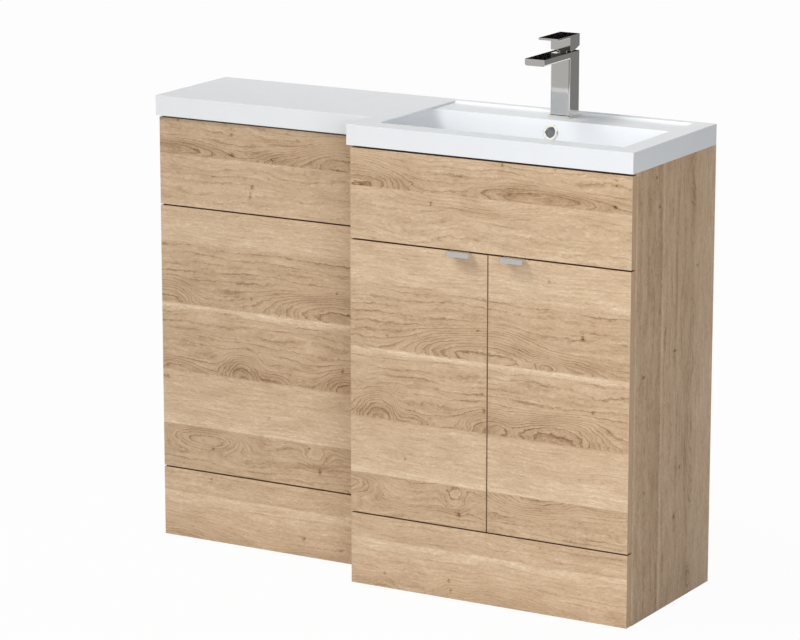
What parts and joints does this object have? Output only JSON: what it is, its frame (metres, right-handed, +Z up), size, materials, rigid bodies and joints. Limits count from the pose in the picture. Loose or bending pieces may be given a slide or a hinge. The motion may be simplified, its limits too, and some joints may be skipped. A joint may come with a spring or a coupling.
{
  "type": "toilet and basin combination unit",
  "caption": "Floor-standing oak-finish bathroom unit: a basin cabinet with two hinged doors beside a slimmer WC housing, under one L-shaped white basin top with a square mono mixer.",
  "frame": {"origin": "on the floor, in the middle of the whole object's width and depth", "axes": "+X to the object's right as seen from its front, +Y to the wall behind it, +Z up"},
  "size_m": [1.1038, 0.3674, 1.0596],
  "materials": {
    "oak_front": "satin",
    "carcass_board": "matte",
    "beech_dowel": "matte",
    "satin_nickel": "satin",
    "white_basin": "gloss",
    "black_rubber": "matte",
    "moulded_plastic": "satin",
    "chrome": "polished",
    "plated_steel": "satin"
  },
  "bodies": {
    "cabinet": {"basin_unit_left_side": "oak_front", "basin_unit_right_side": "oak_front", "basin_unit_floor": "carcass_board", "basin_unit_front_rail": "carcass_board", "basin_unit_top_back_rail": "carcass_board", "basin_unit_lower_back_rail": "carcass_board", "basin_unit_fascia": "oak_front", "basin_unit_plinth": "oak_front", "wc_unit_left_side": "oak_front", "wc_unit_right_side": "carcass_board", "wc_unit_front_rail": "carcass_board", "wc_unit_lower_front_rail": "carcass_board", "wc_unit_top_back_rail": "carcass_board", "wc_unit_lower_back_rail": "carcass_board", "wc_unit_pan_panel": "oak_front", "wc_unit_plinth": "oak_front", "carcass_dowels": "beech_dowel", "joining_bolts": "plated_steel", "joining_sleeves": "plated_steel", "front_panel_screws": "plated_steel", "door_buffers": "moulded_plastic", "hinge_plates": "plated_steel", "hinge_plate_screws": "plated_steel", "left_hinge_arms": "plated_steel", "right_hinge_arms": "plated_steel", "basin_top": "white_basin", "overflow_ring": "chrome", "waste_body": "chrome", "waste_top_washer": "black_rubber", "waste_lower_washer": "black_rubber", "waste_nut": "chrome", "tap_base_plate": "chrome", "tap_body": "chrome", "tap_aerator": "chrome", "tap_cartridge": "moulded_plastic", "tap_neck_ring": "chrome", "tap_fixing_stud": "plated_steel", "tap_rubber_washer": "black_rubber", "tap_horseshoe_washer": "plated_steel", "tap_fixing_nut": "plated_steel"},
    "left_door": {"left_door": "oak_front", "left_handle": "satin_nickel", "left_handle_screws": "plated_steel", "left_hinge_cups": "plated_steel", "left_cup_screws": "plated_steel"},
    "right_door": {"right_door": "oak_front", "right_handle": "satin_nickel", "right_handle_screws": "plated_steel", "right_hinge_cups": "plated_steel", "right_cup_screws": "plated_steel"},
    "left_hinge_links": {"left_hinge_links": "plated_steel"},
    "right_hinge_links": {"right_hinge_links": "plated_steel"},
    "tap_spindle": {"tap_spindle": "plated_steel"},
    "tap_lever": {"tap_lever": "chrome", "tap_stem": "plated_steel", "tap_lever_screw": "plated_steel"},
    "waste_plug": {"waste_plug": "chrome", "waste_plug_seal": "black_rubber"},
    "access_panel": {"wc_unit_access_panel": "oak_front", "access_panel_studs": "moulded_plastic"}
  },
  "joints": [
    {"name": "left_door_hinge", "type": "hinge", "parent": "cabinet", "child": "left_door", "pos_m": [-0.0439, -0.16865, 0.413], "axis": [0, 0, -1], "range_deg": [0, 95]},
    {"name": "right_door_hinge", "type": "hinge", "parent": "cabinet", "child": "right_door", "pos_m": [0.5476, -0.16865, 0.413], "axis": [0, 0, 1], "range_deg": [0, 95]},
    {"name": "left_link_pivot", "type": "hinge", "parent": "cabinet", "child": "left_hinge_links", "pos_m": [-0.0133, -0.15625, 0.413], "axis": [0, 0, 1], "range_deg": [0, 64]},
    {"name": "right_link_pivot", "type": "hinge", "parent": "cabinet", "child": "right_hinge_links", "pos_m": [0.517, -0.15625, 0.413], "axis": [0, 0, -1], "range_deg": [0, 64]},
    {"name": "tap_turn", "type": "hinge", "parent": "cabinet", "child": "tap_spindle", "pos_m": [0.25185, 0.13615, 1.0334], "axis": [0, 0, 1], "range_deg": [-45, 45]},
    {"name": "tap_lift", "type": "hinge", "parent": "tap_spindle", "child": "tap_lever", "pos_m": [0.25185, 0.13615, 1.0334], "axis": [-1, 0, 0], "range_deg": [0, 18]},
    {"name": "plug_slide", "type": "slide", "parent": "cabinet", "child": "waste_plug", "axis": [0, 0, 1], "range_m": [0, 0.008]},
    {"name": "access_panel_pull", "type": "slide", "parent": "cabinet", "child": "access_panel", "axis": [0, -1, 0], "range_m": [0, 0.1]}
  ],
  "couplings": [
    {"joint": "left_link_pivot", "follows": "left_door_hinge", "ratio": 0.67368},
    {"joint": "right_link_pivot", "follows": "right_door_hinge", "ratio": 0.67368}
  ]
}
